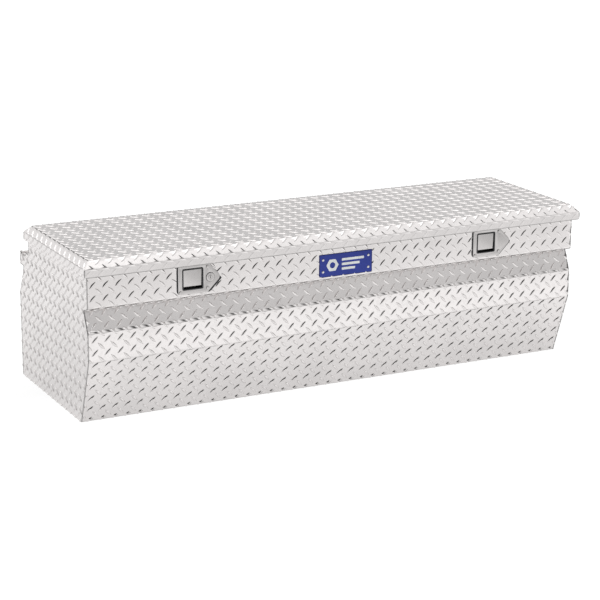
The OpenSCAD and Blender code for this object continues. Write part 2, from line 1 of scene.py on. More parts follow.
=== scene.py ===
"""A tread-plate truck tool box: real tread relief, latches, hinge and struts around the CAD frame.

Lengths in the builders are millimetres in the part's own frame, and meshes are made in metres.
"""

import itertools
import math

import bmesh
import bpy
import numpy as np
from mathutils import Matrix, Vector
from mathutils.geometry import delaunay_2d_cdt


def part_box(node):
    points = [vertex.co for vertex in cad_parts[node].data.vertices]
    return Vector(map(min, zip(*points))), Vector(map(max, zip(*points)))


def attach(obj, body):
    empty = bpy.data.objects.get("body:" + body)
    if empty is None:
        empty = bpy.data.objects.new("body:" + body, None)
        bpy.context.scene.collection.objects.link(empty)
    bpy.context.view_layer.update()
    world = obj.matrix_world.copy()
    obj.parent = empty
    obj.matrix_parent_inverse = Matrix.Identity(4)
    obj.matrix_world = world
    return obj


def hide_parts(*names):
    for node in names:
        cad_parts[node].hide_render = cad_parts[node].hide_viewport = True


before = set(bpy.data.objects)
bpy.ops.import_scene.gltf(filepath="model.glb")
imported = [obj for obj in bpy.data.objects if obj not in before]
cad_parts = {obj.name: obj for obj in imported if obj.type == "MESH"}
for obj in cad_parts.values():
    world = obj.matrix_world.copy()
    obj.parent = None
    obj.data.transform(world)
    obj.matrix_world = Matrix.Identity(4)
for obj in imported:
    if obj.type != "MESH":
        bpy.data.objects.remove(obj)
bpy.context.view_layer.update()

MM = 0.001
SHEET = 1.6  # thickness of the tread plate
BEND_RADIUS = 2.6
BEND_STEP = 20.0  # degrees of a bend between two lines of points

# Tread pattern
PITCH = 36.0  # between bars of the same slant, along and across the sheet
BAR_HALF = 14.5  # half a bar's length
BAR_WIDE = 3.7  # half a bar's width in the middle
BAR_HIGH = 2.1  # height of its flanks
BAR_CROWN = 0.3  # further rise of its middle
BAR_SHOULDER = 0.38  # share of the half width at which the flank ends
LEAST_LIFT = 0.02  # a point that rises less than this counts as flat
BAR_REACH = 12  # a bar may be centred this far outside a sheet's corners
FOLD_REACH = 5  # a fold's line of points is drawn this far past the sheet

# How high the bars stand on some parts of a sheet, as a share of the height above
LOW_FRONT_SHARE = 1.25
LID_TOP_SHARE = 0.75
LID_BEVEL_SHARE = 0.6
LID_SKIRT_SHARE = 0.12

# Body and lid
BODY_HALF = 757.5
LID_HALF = 770.0
LID_BEVEL = 18.6
LID_KNEE_Z = 442.0  # the lid's skirt ends and its bevel starts
LID_CROWN_Z = 460.5  # the bevel ends
FACE_Y = -258.5  # the front panel's upper face
FLANGE_Z = 430.0  # the end panels' flange starts

# Latches, by the middle of each dish
LATCHES = {"left": -458.0, "right": 461.0}
LATCH_Z = 378.5
BEZEL_Y = -261.0  # the outer face of the plates
DISH = (63.0, 61.0)  # width and height of the opening
LOCK_U = 51.0  # from the left dish's middle to the lock
LOCK_R = 9.1

FRONT_PATH = [
    (-233.5, 432), (-258.5, 432), (-258.5, 330), (-231.5, 321), (-256.5, 261),
    (-256.5, 184), (-192.07, 1.6), (-170.07, 1.6),
]
REAR_PATH = [
    (256.5, 1.6), (278.5, 1.6), (278.5, 248), (243.5, 319), (243.5, 333), (268.5, 333), (268.5, 369),
    (259, 369), (259, 363), (227, 363), (219, 373), (193.3, 373), (193.3, 432), (168.3, 432),
]
LID_PATH = [
    (195.5, 420), (195.5, 442), (176.9, 461), (-259.9, 461), (-278.5, 442), (-279.6, 420),
]


# ---------------------------------------------------------------- mesh helpers
def new_object(name, verts, faces):
    mesh = bpy.data.meshes.new(name)
    mesh.from_pydata([tuple(v) for v in verts], [], [tuple(f) for f in faces])
    mesh.update()
    mesh.shade_smooth()
    obj = bpy.data.objects.new(name, mesh)
    bpy.context.scene.collection.objects.link(obj)
    return obj


def outward(obj):
    """Turns every face of a closed mesh outwards."""
    bm = bmesh.new()
    bm.from_mesh(obj.data)
    bmesh.ops.recalc_face_normals(bm, faces=bm.faces[:])
    bm.to_mesh(obj.data)
    bm.free()


class Profile:
    """A bent sheet's outer line with rounded corners, by distance along it. Metal is on its left."""

    def __init__(self, points):
        self.parts = []  # (s0, s1, kind, data)
        self.folds = []  # distances at which the mesh needs a line of points
        points = [Vector(p) for p in points]
        s = 0.0
        start = points[0]
        for i in range(1, len(points)):
            a, b = points[i - 1], points[i]
            heading = (b - a).normalized()
            if i < len(points) - 1:
                after = (points[i + 1] - b).normalized()
                swing = math.atan2(heading.x * after.y - heading.y * after.x, heading.dot(after))
                limit = 0.45 * min((b - a).length, (points[i + 1] - b).length)
                reach = min(BEND_RADIUS * math.tan(abs(swing) / 2), limit)
                r = reach / math.tan(abs(swing) / 2)
                end = b - heading * reach
            else:
                swing = 0.0
                end = b
            run = (end - start).length
            self.parts.append((s, s + run, "line", (start, heading)))
            s += run
            start = end
            if swing:
                side = 1.0 if swing > 0 else -1.0
                centre = end + Vector((-heading.y, heading.x)) * r * side
                turn = r * abs(swing)
                self.parts.append((s, s + turn, "arc", (centre, r, side, heading)))
                count = max(2, math.ceil(math.degrees(abs(swing)) / BEND_STEP))
                self.folds += [s + turn * k / count for k in range(count + 1)]
                self.folds += [s - 1.2, s + turn + 1.2]
                s += turn
                start = b + after * reach
        self.length = s

    def at(self, s, lift=0.0):
        """The point at distance s, lifted off the outer face."""
        for s0, s1, kind, data in self.parts:
            if s <= s1 or s1 == self.length:
                break
        if kind == "line":
            start, heading = data
            return start + heading * (s - s0) + Vector((heading.y, -heading.x)) * lift
        centre, r, side, heading = data
        angle = side * (s - s0) / r
        c, w = math.cos(angle), math.sin(angle)
        normal = Vector((heading.x * w + heading.y * c, heading.y * w - heading.x * c))
        return centre + normal * (r * side + lift)

    def where(self, axis, value, after=0.0):
        """The first distance past after at which the line crosses value on axis 0 or 1."""
        step = 0.25
        s = after
        last = self.at(s)[axis] - value
        while s < self.length:
            s += step
            now = self.at(min(s, self.length))[axis] - value
            if last == 0 or (last < 0) != (now < 0):
                return s - step * abs(now) / max(abs(now) + abs(last), 1e-9)
            last = now
        return self.length


# ---------------------------------------------------------------- tread plate
def bar_width(t):
    return BAR_WIDE * (1.0 - np.abs(t) ** 1.8)


def bar_height(u, v):
    """Height of a raised bar at u along it and v across it: steep flanks and a low crown."""
    t = np.clip(np.abs(u) / BAR_HALF, 0.0, 1.0)
    q = np.clip(np.abs(v) / np.maximum(bar_width(t), 1e-6), 0.0, 1.0)
    flank = np.clip((1.0 - q) / (1.0 - BAR_SHOULDER), 0.0, 1.0)
    crown = np.clip(1.0 - q / BAR_SHOULDER, 0.0, 1.0)
    return (BAR_HIGH * flank + BAR_CROWN * crown) * np.clip((1.0 - t) * 3.2, 0.0, 1.0)


def bar_points():
    """A bar's outline, inner ring and crest as (u, v)."""
    stations = [-0.86, -0.6, -0.22, 0.22, 0.6, 0.86]
    rings = []
    for share, tip in ((1.0, 1.0), (BAR_SHOULDER, 0.93)):
        up = [(t * tip * BAR_HALF, share * float(bar_width(t))) for t in stations]
        low = [(u, -v) for u, v in reversed(up)]
        rings.append([(-tip * BAR_HALF, 0.0)] + up + [(tip * BAR_HALF, 0.0)] + low)
    crest = [(t * BAR_HALF, 0.0) for t in (-0.68, -0.3, 0.3, 0.68)]
    return rings, crest


BAR_RINGS, BAR_CREST = bar_points()
DIAGONAL = math.sqrt(0.5)  # the bars lie at 45 degrees

# Kinds of face on a sheet, after 0 for flat and 1 for raised
INNER_KIND = 2
SIDE_KIND = 3


class Drawing:
    """Points and edges in the flat for a constrained triangulation."""

    def __init__(self):
        self.points, self.edges = [], []

    def line(self, points, closed):
        first = len(self.points)
        self.points.extend(Vector(p) for p in points)
        last = len(points) if closed else len(points) - 1
        self.edges.extend((first + i, first + (i + 1) % len(points)) for i in range(last))

    def triangles(self):
        points, _, faces, *_ = delaunay_2d_cdt(self.points, self.edges, [], 0, 1e-4, False)
        return np.array([tuple(p) for p in points]), np.array([tuple(f) for f in faces if len(f) == 3])


def inside(loops, xy):
    """Even-odd test of many points against closed loops."""
    hit = np.zeros(len(xy), dtype=bool)
    for loop in loops:
        for (x0, y0), (x1, y1) in zip(loop, loop[1:] + loop[:1]):
            if y0 == y1:
                continue
            crosses = (y0 > xy[:, 1]) != (y1 > xy[:, 1])
            hit ^= crosses & (xy[:, 0] < (x1 - x0) * (xy[:, 1] - y0) / (y1 - y0) + x0)
    return hit


def border_edges(faces):
    """The edges that only one triangle has, as (from, to) along that triangle."""
    edges = np.concatenate([faces[:, [0, 1]], faces[:, [1, 2]], faces[:, [2, 0]]])
    _, where, count = np.unique(np.sort(edges, axis=1), axis=0, return_index=True, return_counts=True)
    return edges[where[count == 1]]


def bar_lattices(zones, slant, low, high):
    """The bars' lattices between two corners, each as (start, lean, first cell, which bars stand)."""
    lattices = []
    for (phase, reach), (shift, lean) in itertools.product(zones, ((0.0, slant), (PITCH / 2, -slant))):
        start = np.array(phase) + shift
        first = np.floor((low - BAR_REACH - start) / PITCH).astype(int)
        last = np.ceil((high + BAR_REACH - start) / PITCH).astype(int)
        stands = np.zeros(last - first + 1, dtype=bool)
        for i, j in np.ndindex(stands.shape):
            stands[i, j] = reach[0] < start[1] + (first[1] + j) * PITCH < reach[1]
        lattices.append((start, lean, first, stands))
    return lattices


def draw_bars(drawing, lattice):
    """Draws the outline, inner ring and crest of every bar that stands."""
    start, lean, first, stands = lattice
    for cell in np.argwhere(stands):
        a, s = start + (first + cell) * PITCH
        for outline in (*BAR_RINGS, BAR_CREST):
            points = [(a + (u - v * lean) * DIAGONAL, s + (u * lean + v) * DIAGONAL) for u, v in outline]
            drawing.line(points, outline is not BAR_CREST)


def bar_lift(flat, lattices):
    """How far the bars raise each point of the flat sheet."""
    lift = np.zeros(len(flat))
    for start, lean, first, stands in lattices:
        nearest = np.round((flat - start) / PITCH).astype(int)
        da, ds = (flat - start - nearest * PITCH).T
        cell = np.clip(nearest - first, 0, np.array(stands.shape) - 1)
        height = bar_height((da + lean * ds) * DIAGONAL, (ds - lean * da) * DIAGONAL)
        lift = np.maximum(lift, np.where(stands[cell[:, 0], cell[:, 1]], height, 0.0))
    return lift


def inner_face(loops, folds, flat, edges):
    """Points and triangles of a sheet's inner face: its border and lines only at the folds."""
    drawing = Drawing()
    ring = sorted({i for e in edges for i in e})
    slot = {old: k for k, old in enumerate(ring)}
    drawing.points = [Vector(flat[i]) for i in ring]
    drawing.edges = [(slot[a], slot[b]) for a, b in edges]
    for s in folds:
        crossing = sorted(flat[i][0] for i in ring if abs(flat[i][1] - s) < 1e-3)
        for a0, a1 in zip(crossing, crossing[1:]):
            middle = np.array([[(a0 + a1) / 2, s]])
            if inside(loops, middle)[0]:
                drawing.line([(a0, s), (a1, s)], False)
    under, faces = drawing.triangles()
    return under, faces[inside(loops, under[faces].mean(axis=1))]


def tread_sheet(name, loops, folds, place, slant, zones, pads=()):
    """A sheet with raised bars on its outer face, folded into place.

    loops: closed outlines in the flat (a, s), the first one outside and the rest holes.
    place(a, s, lift) gives the folded point. slant: 1 if (+a, +s) runs up a '/' bar.
    zones: pairs of the centre of one '/' bar and the distances s between which bars stand.
    pads: closed outlines in which the bars are pressed flat.
    """
    corner = np.array(loops[0])
    low, high = corner.min(axis=0), corner.max(axis=0)
    drawing = Drawing()
    for loop in (*loops, *pads):
        drawing.line(loop, True)
    for s in folds:
        drawing.line([(low[0] - FOLD_REACH, s), (high[0] + FOLD_REACH, s)], False)
    lattices = bar_lattices(zones, slant, low, high)
    for lattice in lattices:
        draw_bars(drawing, lattice)
    flat, faces = drawing.triangles()
    faces = faces[inside(loops, flat[faces].mean(axis=1))]

    lift = bar_lift(flat, lattices)
    for pad in pads:
        lift[inside([pad], flat)] = 0.0
    lift[lift < LEAST_LIFT] = 0.0
    raised = lift[faces].max(axis=1) > 0.0

    used = np.unique(faces)
    renumber = {old: new for new, old in enumerate(used.tolist())}
    outer = [tuple(renumber[i] for i in f) for f in faces.tolist()]
    verts = [place(a, s, up) for (a, s), up in zip(flat[used].tolist(), lift[used].tolist())]

    edges = border_edges(faces).tolist()
    under, under_faces = inner_face(loops, folds, flat, edges)
    base = len(verts)
    verts += [place(a, s, -SHEET) for a, s in under]
    inner = [tuple(base + i for i in f[::-1]) for f in under_faces]
    match = {(round(a, 3), round(s, 3)): base + i for i, (a, s) in enumerate(under)}
    sides = []
    for a, b in edges:
        c, d = (match[(round(flat[i][0], 3), round(flat[i][1], 3))] for i in (b, a))
        sides.append((renumber[b], renumber[a], d, c))

    obj = new_object(name, [Vector(v) * MM for v in verts], outer + inner + sides)
    inner_kinds = np.full(len(inner), INNER_KIND)
    side_kinds = np.full(len(sides), SIDE_KIND)
    mark_between(obj.data, np.concatenate([raised.astype(int), inner_kinds, side_kinds]))
    outward(obj)
    return obj


def mark_between(mesh, kind):
    """Makes an edge sharp between faces of different kinds and all round a side face."""
    corner_edges = np.empty(len(mesh.loops), dtype=np.int32)
    mesh.loops.foreach_get("edge_index", corner_edges)
    sizes = np.empty(len(mesh.polygons), dtype=np.int32)
    mesh.polygons.foreach_get("loop_total", sizes)
    kinds = np.repeat(kind, sizes)
    least = np.full(len(mesh.edges), SIDE_KIND + 1)
    most = np.full(len(mesh.edges), -1)
    np.minimum.at(least, corner_edges, kinds)
    np.maximum.at(most, corner_edges, kinds)
    attribute = mesh.attributes.new("sharp_edge", "BOOLEAN", "EDGE")
    attribute.data.foreach_set("value", (least != most) | (most == SIDE_KIND))


def rounded_loop(width, height, radius, centre, steps=5):
    """A rounded rectangle as a list of points."""
    loop = []
    for k, (sx, sy) in enumerate(((1, 1), (-1, 1), (-1, -1), (1, -1))):
        for i in range(steps + 1):
            angle = math.radians(90 * k + 90 * i / steps)
            loop.append((
                centre[0] + sx * (width / 2 - radius) + radius * math.cos(angle),
                centre[1] + sy * (height / 2 - radius) + radius * math.sin(angle),
            ))
    return loop


def softened(corners, radius, steps=4):
    """A polygon with every corner rounded, as a list of points."""
    loop = []
    for before, corner, after in zip(corners[-1:] + corners[:-1], corners, corners[1:] + corners[:1]):
        to_before = (Vector(before) - Vector(corner)).normalized()
        to_after = (Vector(after) - Vector(corner)).normalized()
        half = to_before.angle(to_after) / 2
        reach = min(radius / math.tan(half), 0.4 * math.dist(before, corner), 0.4 * math.dist(after, corner))
        centre = Vector(corner) + (to_before + to_after).normalized() * reach / math.cos(half)
        start = Vector(corner) + to_before * reach - centre
        end = Vector(corner) + to_after * reach - centre
        for i in range(steps + 1):
            spoke = start.lerp(end, i / steps)
            loop.append(tuple(centre + spoke * (start.length / spoke.length)))
    return loop


def circle(radius, centre, steps=24):
    return [
        (centre[0] + radius * math.cos(2 * math.pi * i / steps),
         centre[1] + radius * math.sin(2 * math.pi * i / steps))
        for i in range(steps)
    ]


def join(objects, name):
    """Joins objects into the first one and renames it."""
    with bpy.context.temp_override(
        active_object=objects[0], selected_editable_objects=objects, object=objects[0]
    ):
        bpy.ops.object.join()
    objects[0].name = name
    return objects[0]


def profile_points(profile, s0, s1):
    """The rounded profile between two distances, as points."""
    stops = {s0, s1}
    for a, b, kind, _ in profile.parts:
        count = 4 if kind == "arc" else 1
        stops |= {a + (b - a) * k / count for k in range(count + 1)}
    return [tuple(profile.at(s)) for s in sorted(s for s in stops if s0 <= s <= s1)]


# ---------------------------------------------------------------- materials
NOISE_SPAN = (0.3, 0.7)  # the values that noise mostly takes


def material(name, color, metallic, roughness, **sockets):
    """A Principled material whose roughness and colour vary a little; returns it with its parts."""
    mat = bpy.data.materials.new(name)
    mat.use_nodes = True
    tree = mat.node_tree
    shader = tree.nodes["Principled BSDF"]
    shader.inputs["Metallic"].default_value = metallic
    for key, value in sockets.items():
        shader.inputs[key.replace("_", " ")].default_value = value
    place = tree.nodes.new("ShaderNodeTexCoord")
    return mat, Nodes(tree, shader, place, color, roughness)


class Nodes:
    """Short calls for the node chains that the materials share."""

    def __init__(self, tree, shader, place, color, roughness):
        self.tree, self.shader, self.place = tree, shader, place
        self.color, self.roughness = color, roughness

    def noise(self, scale, detail, stretch=(1, 1, 1), distortion=0.0):
        mapping = self.tree.nodes.new("ShaderNodeMapping")
        mapping.inputs["Scale"].default_value = stretch
        self.tree.links.new(self.place.outputs["Object"], mapping.inputs["Vector"])
        node = self.tree.nodes.new("ShaderNodeTexNoise")
        node.inputs["Scale"].default_value = scale
        node.inputs["Detail"].default_value = detail
        node.inputs["Distortion"].default_value = distortion
        self.tree.links.new(mapping.outputs["Vector"], node.inputs["Vector"])
        return node.outputs["Fac"]

    def spread(self, value, low, high, at=NOISE_SPAN):
        node = self.tree.nodes.new("ShaderNodeMapRange")
        node.inputs["From Min"].default_value = at[0]
        node.inputs["From Max"].default_value = at[1]
        node.inputs["To Min"].default_value = low
        node.inputs["To Max"].default_value = high
        self.tree.links.new(value, node.inputs["Value"])
        return node.outputs["Result"]

    def total(self, a, b):
        node = self.tree.nodes.new("ShaderNodeMath")
        node.operation = "ADD"
        self.tree.links.new(a, node.inputs[0])
        self.tree.links.new(b, node.inputs[1])
        return node.outputs["Value"]

    def paint(self, value, dark, light):
        """Colour between two tones by a 0-1 value."""
        ramp = self.tree.nodes.new("ShaderNodeValToRGB")
        for element, place, tone in zip(ramp.color_ramp.elements, NOISE_SPAN, (dark, light)):
            element.position = place
            element.color = (*tone, 1)
        self.tree.links.new(value, ramp.inputs["Fac"])
        self.tree.links.new(ramp.outputs["Color"], self.shader.inputs["Base Color"])

    def rough(self, value):
        self.tree.links.new(value, self.shader.inputs["Roughness"])

    def bump(self, height, strength, distance):
        node = self.tree.nodes.new("ShaderNodeBump")
        node.inputs["Strength"].default_value = strength
        node.inputs["Distance"].default_value = distance
        self.tree.links.new(height, node.inputs["Height"])
        self.tree.links.new(node.outputs["Normal"], self.shader.inputs["Normal"])


def scaled(color, factor):
    return tuple(min(1.0, c * factor) for c in color)


def metal(name, color, roughness, grain=(1, 1, 1), grain_bump=0.04, clouds=0.06):
    """Bare or plated metal: cloudy gloss, fine grain and a few rub marks."""
    mat, n = material(name, color, 1.0, roughness)
    cloud = n.noise(9.0, 5.0, distortion=0.4)
    fine = n.noise(900.0, 3.0, grain)
    marks = n.noise(60.0, 8.0, (1, 1, 1), 1.5)
    n.paint(cloud, scaled(color, 0.95), scaled(color, 1.03))
    soft = n.spread(cloud, roughness - clouds / 2, roughness + clouds / 2)
    worn = n.spread(marks, -0.03, 0.06, (0.45, 0.62))
    n.rough(n.total(soft, worn))
    n.bump(fine, grain_bump, 0.0004)
    return mat


def coated(name, color, roughness, scale, strength, coat=0.0, shine=0.5):
    """Paint, rubber, nylon or foam: even colour, fine surface texture."""
    mat, n = material(
        name, color, 0.0, roughness, Coat_Weight=coat, Coat_Roughness=0.08, Specular_IOR_Level=shine,
    )
    cloud = n.noise(14.0, 4.0)
    fine = n.noise(scale, 4.0)
    n.paint(cloud, scaled(color, 0.88), scaled(color, 1.12))
    n.rough(n.spread(n.noise(40.0, 6.0), roughness - 0.05, roughness + 0.07))
    n.bump(fine, strength, 0.0006)
    return mat


TREAD = metal("tread_plate", (0.642, 0.62, 0.614), 0.2, (1, 1, 1), 0.03)
MILL = metal("mill_aluminium", (0.61, 0.598, 0.593), 0.34, (1, 14, 14), 0.05)
WELD = metal("weld_metal", (0.33, 0.322, 0.318), 0.36, (1, 1, 1), 0.15, 0.2)
# Near-black metal for the bead along the lid's top fold: painted shade in the fold
FOLD_SHADE = metal("painted_fold_shade", (0.13, 0.128, 0.126), 0.4, (1, 1, 1), 0.15, 0.2)
STAINLESS = metal("polished_steel", (0.445, 0.43, 0.425), 0.22, (1, 10, 10), 0.03)
ZINC = metal("zinc_steel", (0.52, 0.53, 0.54), 0.3, (1, 1, 1), 0.06)
SPRING = metal("spring_steel", (0.36, 0.36, 0.38), 0.32)
CHROME = metal("chrome_rod", (0.78, 0.78, 0.80), 0.07, (12, 12, 1), 0.01, 0.02)
RUBBER = coated("rubber", (0.028, 0.028, 0.03), 0.7, 500.0, 0.15)
BLUE = coated("blue_enamel", (0.026, 0.044, 0.27), 0.4, 900.0, 0.02, shine=0.2)
BLUE_EDGE = coated("blue_edge", (0.01, 0.016, 0.12), 0.4, 900.0, 0.02, shine=0.2)
WHITE = coated("white_enamel", (0.72, 0.74, 0.74), 0.4, 900.0, 0.02, shine=0.2)
FOAM = coated("foam", (0.74, 0.63, 0.38), 0.9, 300.0, 0.5)
BLACK = coated("black_paint", (0.018, 0.018, 0.02), 0.32, 700.0, 0.04, coat=0.4)
NYLON = coated("black_nylon", (0.022, 0.022, 0.022), 0.5, 400.0, 0.12)


def dress(obj, mat, body, slot, *nodes):
    """Gives a piece its material and body, and hides the CAD nodes that it stands for."""
    obj.data.materials.clear()
    obj.data.materials.append(mat)
    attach(obj, body)
    if nodes:
        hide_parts(*nodes)
    return obj


def seal_outline(x):
    """Outline in [x, z] of the rubber seal behind a latch's plate. On the left latch it reaches further out
    along its lower slope, a dark strip painted as the plate's shadow.
    """
    shows = 4.4 if x < 0 else 0.0  # how far the left latch's seal stands out at its lower slope
    return softened([
        (x - 45.8, LATCH_Z - 40.8), (x + 45.8 + shows, LATCH_Z - 40.8), (x + 80.9 + shows, LATCH_Z - 6.3),
        (x + 82.2, LATCH_Z - 2.6), (x + 42.1, LATCH_Z + 40.4), (x - 45.8, LATCH_Z + 40.4),
    ], 11.0)


# ---------------------------------------------------------------- body panels
def front_panel():
    profile = Profile(FRONT_PATH)
    wall = profile.where(1, 431.0)
    foot = profile.where(1, 4.0, wall)
    step = profile.where(1, 329.0, wall)
    waist = profile.where(1, 320.5, step)
    half = BODY_HALF - SHEET

    def level(z):
        return profile.where(1, z, wall)

    loops = [[(-half, 0.0), (half, 0.0), (half, profile.length), (-half, profile.length)]]
    for x in LATCHES.values():
        loops.append(rounded_loop(*DISH, 4.0, (x, level(LATCH_Z))))
    loops.append(circle(LOCK_R, (LATCHES["left"] + LOCK_U, level(LATCH_Z))))
    low, high = (Vector(p) * 1000 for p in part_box("name_plate"))
    middle = ((low.x + high.x) / 2, level((low.z + high.z) / 2))
    pads = [rounded_loop(high.x - low.x - 0.6, high.z - low.z - 0.6, 3.0, middle)]
    for x in LATCHES.values():
        pads.append([(a, level(z)) for a, z in seal_outline(x)])
    zones = [
        ((-742.0, level(392.7)), (wall + 4, step - 5)),
        ((-738.0, level(392.7) - 9), (waist + 6, foot + 8)),
    ]

    def place(a, s, lift):
        p = profile.at(s, lift * (LOW_FRONT_SHARE if s > waist else 1.0))
        return a, p.x, p.y

    obj = tread_sheet("front_panel_tread", loops, profile.folds, place, -1, zones, pads)
    return dress(obj, TREAD, "box", "tread_plate", "front_panel")


def rear_panel():
    profile = Profile(REAR_PATH)
    # The bars end low on the upright that carries the hinge
    top = profile.where(1, 386.0, profile.where(1, 372.9, profile.where(0, 225.0)))
    half = BODY_HALF - SHEET
    loops = [[(-half, 0.0), (half, 0.0), (half, profile.length), (-half, profile.length)]]

    def place(a, s, lift):
        p = profile.at(s, lift)
        return a, p.x, p.y

    zones = [((-742.0, 50.0), (24, top))]
    obj = tread_sheet("rear_panel_tread", loops, profile.folds, place, 1, zones)
    return dress(obj, TREAD, "box", "tread_plate", "rear_panel")


def end_outline():
    """The closed body's end as [y, z], with the panels' own bend radii."""
    front = Profile(FRONT_PATH)
    rear = Profile(REAR_PATH)
    rim = front.where(0, -258.4)
    foot = front.where(1, 8.0, rim)
    heel = rear.where(1, 6.0)
    back_rim = rear.where(1, 431.0, rear.where(0, 200.0))
    down = profile_points(front, rim, foot)[1:]
    up = profile_points(rear, heel, back_rim)
    down, up = ([p for p in side if p[1] < FLANGE_Z - 1] for side in (down, up))
    return [(FACE_Y, FLANGE_Z), *down, (-191.5, 0.0), (278.5, 0.0), *up, (193.3, FLANGE_Z)]


def end_panel(side):
    path = Profile([(BODY_HALF, 0), (BODY_HALF, 432), (BODY_HALF - 25, 432)])
    brim = [(168.3, FLANGE_Z), (168.3, path.length), (-233.5, path.length), (-233.5, FLANGE_Z)]
    outline = end_outline() + brim
    loop = [p for i, p in enumerate(outline) if math.dist(p, outline[i - 1]) > 0.05]
    word = "left" if side < 0 else "right"

    def place(a, s, lift):
        p = path.at(s, lift)
        return side * p.x, a, p.y

    zones = [((-240.0, 410.0), (-20, 424))]
    obj = tread_sheet(f"{word}_end_panel_tread", [loop], path.folds, place, side, zones)
    return dress(obj, TREAD, "box", "tread_plate", f"{word}_end_panel")


def bead(name, points, radius, seed, body, mat, step=2.2):
    """A bead along a line of points, with its ripples: the weld beads, and also the thin dark lines of
    painted shade along the lid's folds and skirt.
    """
    sides = 8
    rng = np.random.default_rng(seed)
    points = [Vector(p) for p in points]
    stations = []
    for a, b in zip(points, points[1:]):
        count = max(1, round((b - a).length / step))
        stations += [a.lerp(b, k / count) for k in range(count)]
    stations.append(points[-1])
    verts, faces = [], []
    for i, p in enumerate(stations):
        ahead = stations[min(i + 1, len(stations) - 1)] - stations[max(i - 1, 0)]
        across = ahead.orthogonal().normalized()
        if abs(ahead.normalized().x) < 0.9:
            across = (Vector((1, 0, 0)) - ahead * (ahead.x / ahead.length_squared)).normalized()
        other = ahead.normalized().cross(across)
        end = i in (0, len(stations) - 1)
        r = radius * (0.35 if end else 1.0 + 0.1 * math.sin(i * 2.1) + rng.normal(0, 0.05))
        for k in range(sides):
            angle = 2 * math.pi * k / sides
            verts.append((p + across * r * math.cos(angle) + other * r * math.sin(angle)) * MM)
    for i in range(len(stations) - 1):
        for k in range(sides):
            j = (k + 1) % sides
            faces.append((i * sides + k, i * sides + j, (i + 1) * sides + j, (i + 1) * sides + k))
    last = (len(stations) - 1) * sides
    faces += [tuple(range(sides))[::-1], tuple(last + k for k in range(sides))]
    obj = new_object(name, verts, faces)
    outward(obj)
    return dress(obj, mat, body, "tread_plate")


def corner_welds():
    outline = end_outline()
    front = [p for p in outline if p[0] < 0]
    back = [p for p in outline if p[0] > 190]
    for side, word in ((-1, "left"), (1, "right")):
        x = side * (BODY_HALF - 0.9)
        for part, pts, seed in (("front", front, 3), ("rear", back, 5)):
            inset = 0.5 if part == "front" else -0.5
            bead(f"{word}_{part}_weld", [(x, y + inset, z) for y, z in pts], 1.7, seed + side, "box", WELD)


# ---------------------------------------------------------------- lid
CORNER_GAP = 0.6  # the lid's corners stop short of each other by this much and are filled by weld
LID_INNER = LID_HALF - LID_BEVEL


def lid_sheet():
    """The lid's skin from its rear skirt over its top to its front skirt."""
    profile = Profile(LID_PATH)
    half = LID_HALF - CORNER_GAP
    top_edge = LID_INNER - 4.0
    seam = LID_INNER - CORNER_GAP / 2
    knee_back = profile.where(1, LID_KNEE_Z)
    crown_back = profile.where(1, LID_CROWN_Z)
    crown_front = profile.where(1, LID_CROWN_Z, profile.length / 2)
    knee_front = profile.where(1, LID_KNEE_Z, profile.length / 2)
    right = [
        (half, 0.0), (half, knee_back), (seam, crown_back), (top_edge, crown_back + 3.0),
        (top_edge, crown_front - 3.0), (seam, crown_front), (half, knee_front),
        (half, profile.length),
    ]
    loop = right + [(-a, s) for a, s in reversed(right)]

    def place(a, s, lift):
        # The brake that folds the front's bevel and skirt presses their bars down
        if s > knee_front + 3:
            share = LID_SKIRT_SHARE
        elif s > crown_front:
            share = LID_BEVEL_SHARE
        else:
            share = LID_TOP_SHARE
        p = profile.at(s, lift * share)
        return a, p.x, p.y

    middle = profile.where(0, -40.0)
    zones = [((-727.0, middle + 9), (knee_back - 6, 600))]
    return tread_sheet("lid_skin_tread", [loop], profile.folds, place, -1, zones)


def lid_flap(side):
    """The bevel and skirt at one end of the lid."""
    gap = CORNER_GAP / 2
    flap = Profile([(770, 420), (770, 442), (751.4, 461), (747.4, 461)])
    knee = flap.where(1, LID_KNEE_Z)
    crown = flap.where(1, LID_CROWN_Z)
    edge = [
        (194.9, 0.0), (194.9, knee), (176.9 - gap, crown), (176.9 - gap, flap.length),
        (-259.9 + gap, flap.length), (-259.9 + gap, crown), (-277.9, knee), (-277.9, 0.0),
    ]

    def place(a, s, lift):
        p = flap.at(s, lift)
        return side * p.x, a, p.y

    zones = [((-240.0, knee - 8.0), (-20, 60))]
    return tread_sheet(f"lid_end_{side}", [edge], flap.folds, place, side, zones)


